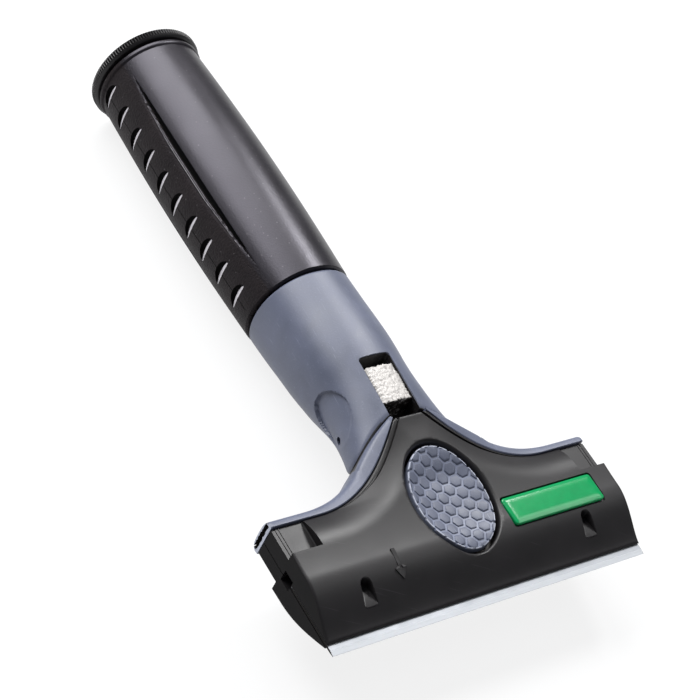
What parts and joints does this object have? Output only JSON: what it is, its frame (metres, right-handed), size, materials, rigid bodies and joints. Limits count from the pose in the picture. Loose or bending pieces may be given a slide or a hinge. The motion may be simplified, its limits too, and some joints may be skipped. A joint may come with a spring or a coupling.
{
  "type": "hand scraper",
  "caption": "Hand scraper with a long steel blade clamped in a two-shell head by a thumb button, and a straight round grip with a screw cap.",
  "frame": {"origin": "below the middle of the tool's box, at the level of its lowest point when it lies on its back", "axes": "+X along the blade to the badge's side, +Y along the handle from the blade to the cap, +Z out of the front of the head"},
  "size_m": [0.1002, 0.1906, 0.0332],
  "materials": {
    "black_moulding": "satin black moulding",
    "blue_grey_moulding": "satin blue-grey moulding",
    "green_enamel": "glossy green plate",
    "grip_rubber": "fine-grained black grip",
    "pad_rubber": "plain black rubber",
    "cast_core": "bright as cast",
    "blade_steel": "ground strip steel",
    "spring_steel": "drawn wire",
    "zinc_steel": "zinc plated"
  },
  "bodies": {
    "tool": {"front_cover": "black_moulding", "rear_cover": "black_moulding", "cover_screw_1": "zinc_steel", "cover_screw_2": "zinc_steel", "cover_screw_3": "zinc_steel", "cover_screw_4": "zinc_steel", "badge": "green_enamel", "head_frame": "blue_grey_moulding", "neck_body": "blue_grey_moulding", "core_pin": "zinc_steel", "metal_core": "cast_core", "handle_tube": "black_moulding", "grip_sleeve": "grip_rubber"},
    "button": {"thumb_button": "blue_grey_moulding", "clamp_plate": "zinc_steel", "clamp_pad": "pad_rubber", "clamp_screw_left": "zinc_steel", "clamp_screw_right": "zinc_steel", "button_spring_left": "spring_steel", "button_spring_right": "spring_steel"},
    "blade": {"blade": "blade_steel"},
    "seal": {"cap_seal": "pad_rubber"},
    "cap": {"end_cap": "black_moulding"}
  },
  "joints": [
    {"name": "button_press", "type": "slide", "parent": "tool", "child": "button", "axis": [0, 0, -1], "range_m": [0, 0.0015], "stiffness_N_per_m": 3000, "springref_m": -0.002, "deforming": ["button_spring_left", "button_spring_right"]},
    {"name": "blade_slide", "type": "slide", "parent": "tool", "child": "blade", "axis": [1, 0, 0], "range_m": [0, 0.104]},
    {"name": "cap_travel", "type": "slide", "parent": "tool", "child": "seal", "axis": [0, 1, 0], "range_m": [0, 0.009]},
    {"name": "cap_turn", "type": "hinge", "parent": "seal", "child": "cap", "pos_m": [0, 0.09265, 0.0166], "axis": [0, 1, 0], "range_deg": [0, 1080]}
  ],
  "couplings": [
    {"joint": "cap_travel", "follows": "cap_turn", "m_per_rad": 0.00047746}
  ]
}
